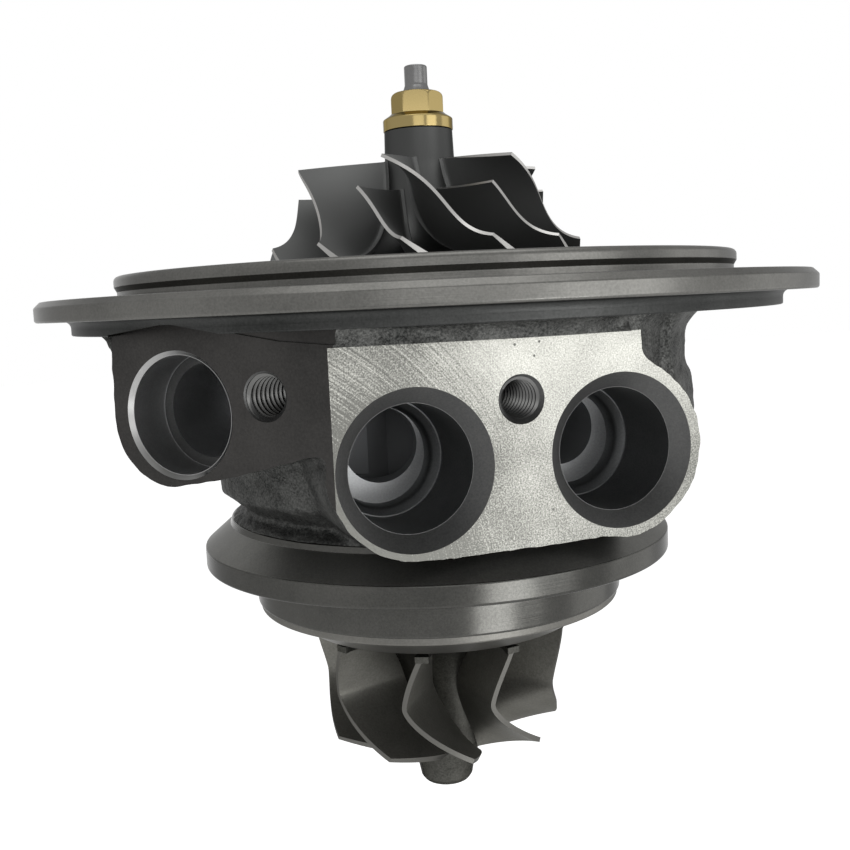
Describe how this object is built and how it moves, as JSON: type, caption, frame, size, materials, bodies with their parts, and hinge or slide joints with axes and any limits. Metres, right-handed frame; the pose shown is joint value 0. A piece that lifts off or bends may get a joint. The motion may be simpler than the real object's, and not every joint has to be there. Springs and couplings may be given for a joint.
{
  "type": "turbo cartridge",
  "caption": "Turbocharger cartridge: cast bearing housing with water ports and a drain port, compressor wheel, turbine wheel and shaft in floating bushes",
  "frame": {"origin": "on the shaft's axis, in the plane of the shoulder that the compressor housing seats on", "axes": "+Z along the shaft towards the compressor wheel, -Y out of the bright face with the two water ports"},
  "size_m": [0.135, 0.135, 0.1327],
  "materials": {
    "cast_iron_body": "cast with turned and milled faces",
    "wheel_alloy": "dark milled",
    "turbine_alloy": "fine investment cast",
    "steel": "ground",
    "nut_plating": "yellow plated steel",
    "bronze": "machined",
    "seal_rubber": "smooth"
  },
  "bodies": {
    "housing": {"bearing_housing": "cast_iron_body", "heat_shield": "steel", "seal_plate": "steel", "seal_plate_o_ring": "seal_rubber", "seal_plate_screws": "steel", "compressor_seal_ring": "steel", "thrust_bearing": "bronze", "thrust_bearing_pins": "steel", "oil_deflector": "steel", "bush_snap_rings": "steel", "turbine_seal_ring": "steel"},
    "rotor": {"shaft": "steel", "compressor_wheel": "wheel_alloy", "turbine_wheel": "turbine_alloy", "shaft_nut": "nut_plating", "flinger_sleeve": "steel", "thrust_collar": "steel", "thrust_washer": "steel"},
    "compressor_bush": {"compressor_side_bush": "bronze"},
    "turbine_bush": {"turbine_side_bush": "bronze"}
  },
  "joints": [
    {"name": "rotor_spin", "type": "hinge", "parent": "housing", "child": "rotor", "pos_m": [0, 0, 0], "axis": [0, 0, 1], "continuous": true},
    {"name": "compressor_side_bush_spin", "type": "hinge", "parent": "housing", "child": "compressor_bush", "pos_m": [0, 0, -0.0187], "axis": [0, 0, 1], "continuous": true},
    {"name": "turbine_side_bush_spin", "type": "hinge", "parent": "housing", "child": "turbine_bush", "pos_m": [0, 0, -0.0393], "axis": [0, 0, 1], "continuous": true}
  ]
}
